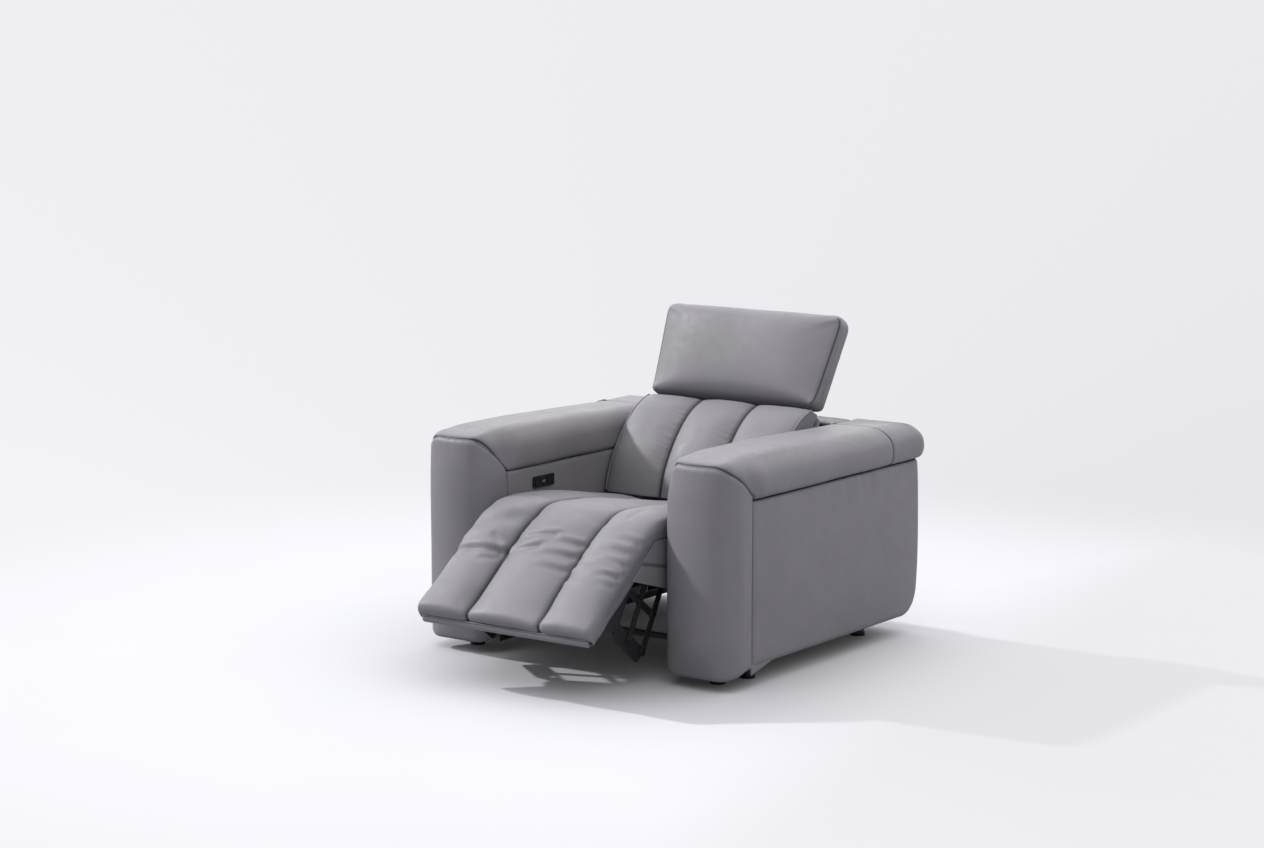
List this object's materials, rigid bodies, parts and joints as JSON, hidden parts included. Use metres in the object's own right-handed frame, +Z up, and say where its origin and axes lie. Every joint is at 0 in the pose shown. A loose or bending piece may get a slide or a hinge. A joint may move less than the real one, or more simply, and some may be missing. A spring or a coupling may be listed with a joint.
{
  "type": "power recliner armchair",
  "caption": "Upholstered power recliner armchair with a lattice-linked footrest, gliding seat, reclining channelled back, folding headrest and padded arm rolls.",
  "frame": {"origin": "middle of the overall footprint, armrests and footrest together, on the floor", "axes": "+X to the sitter's left seen from the front as right, -Y to the front, +Z up"},
  "size_m": [1.096, 1.341, 0.9376],
  "materials": {
    "leather": "semi-matte fine-grained leather",
    "padded_leather": null,
    "timber": "raw plywood and softwood",
    "black_steel": "black powder coat",
    "bright_steel": "zinc plated",
    "black_plastic": "moulded black"
  },
  "bodies": {
    "base": {"arm_end_boards": "timber", "arm_top_boards": "timber", "arm_rails": "timber", "arm_front_panel_left": "leather", "arm_front_panel_right": "leather", "arm_side_panel_left": "leather", "arm_side_panel_right": "leather", "arm_inner_panel_left": "leather", "arm_inner_panel_right": "leather", "arm_roll_left": "padded_leather", "arm_roll_right": "padded_leather", "arm_roll_rear_left": "padded_leather", "arm_roll_rear_right": "padded_leather", "feet": "black_plastic", "outer_back_frame": "timber", "outer_back_panel": "leather", "back_shelf": "leather", "base_rails": "black_steel", "base_cross_tubes": "black_steel", "rail_bolts": "bright_steel", "power_inlet": "black_plastic", "switch_bezel": "black_plastic", "usb_socket": "bright_steel"},
    "open_button": {"open_button": "black_plastic"},
    "close_button": {"close_button": "black_plastic"},
    "seat_frame": {"seat_side_rails": "timber", "seat_cross_rails": "timber", "seat_springs": "bright_steel", "seat_cushion": "padded_leather", "side_plates": "black_steel", "glide_shoes": "black_plastic", "seat_tube": "black_steel", "frame_rivets": "bright_steel", "motor_track": "black_steel", "motor": "black_steel", "motor_clevis": "black_steel", "lead_screw": "bright_steel"},
    "footrest": {"footrest_board": "timber", "footrest_brackets": "black_steel", "footrest_tube": "black_steel", "footrest_cushion": "padded_leather", "footrest_band": "leather"},
    "rear_links": {"rear_links": "black_steel", "drive_tube": "black_steel"},
    "front_links": {"front_links": "black_steel"},
    "lower_links": {"lower_links": "black_steel", "lower_rivets": "bright_steel"},
    "upper_links": {"upper_links": "black_steel", "upper_rivets": "bright_steel"},
    "slider": {"slider_yoke": "black_steel"},
    "back": {"back_frame": "timber", "back_cross_rails": "timber", "back_springs": "bright_steel", "back_brackets": "black_steel", "back_cushion": "padded_leather", "back_rear_cover": "leather", "headrest_ratchets": "black_steel"},
    "headrest": {"headrest_levers": "black_steel", "headrest_board": "timber", "headrest_cushion": "padded_leather"}
  },
  "joints": [
    {"name": "seat_glide", "type": "slide", "parent": "base", "child": "seat_frame", "axis": [0, -1, 0], "range_m": [0, 0.16]},
    {"name": "back_recline", "type": "hinge", "parent": "seat_frame", "child": "back", "pos_m": [0, 0.23149, 0.33], "axis": [-1, 0, 0], "range_deg": [0, 20.01]},
    {"name": "headrest_tilt", "type": "hinge", "parent": "back", "child": "headrest", "pos_m": [0, 0.50949, 0.669], "axis": [1, 0, 0], "range_deg": [-45, 0]},
    {"name": "footrest_swing", "type": "hinge", "parent": "seat_frame", "child": "footrest", "pos_m": [0, -0.34551, 0.429], "axis": [-1, 0, 0], "range_deg": [-51.4, 33.6]},
    {"name": "rear_link_swing", "type": "hinge", "parent": "seat_frame", "child": "rear_links", "pos_m": [0, -0.22051, 0.334], "axis": [-1, 0, 0], "range_deg": [-51.4, 33.6]},
    {"name": "front_link_swing", "type": "hinge", "parent": "seat_frame", "child": "front_links", "pos_m": [0, -0.28301, 0.3815], "axis": [-1, 0, 0], "range_deg": [-51.4, 33.6]},
    {"name": "lower_link_pivot", "type": "hinge", "parent": "rear_links", "child": "lower_links", "pos_m": [0, -0.35117, 0.08894], "axis": [1, 0, 0], "range_deg": [-51.4, 33.6]},
    {"name": "upper_link_pivot", "type": "hinge", "parent": "rear_links", "child": "upper_links", "pos_m": [0, -0.29891, 0.18697], "axis": [1, 0, 0], "range_deg": [-51.4, 33.6]},
    {"name": "slider_travel", "type": "slide", "parent": "seat_frame", "child": "slider", "axis": [0, -1, 0], "range_m": [-0.0504, 0.033]},
    {"name": "open_button_press", "type": "slide", "parent": "base", "child": "open_button", "axis": [-1, 0, 0], "range_m": [0, 0.001], "stiffness_N_per_m": 400},
    {"name": "close_button_press", "type": "slide", "parent": "base", "child": "close_button", "axis": [-1, 0, 0], "range_m": [0, 0.001], "stiffness_N_per_m": 400}
  ],
  "couplings": [
    {"joint": "back_recline", "follows": "seat_glide", "rad_per_m": 2.1817},
    {"joint": "rear_link_swing", "follows": "footrest_swing", "ratio": 1},
    {"joint": "front_link_swing", "follows": "footrest_swing", "ratio": 1},
    {"joint": "lower_link_pivot", "follows": "footrest_swing", "ratio": 1},
    {"joint": "upper_link_pivot", "follows": "footrest_swing", "ratio": 1},
    {"joint": "slider_travel", "follows": "footrest_swing", "m_per_rad": 0.0558}
  ]
}
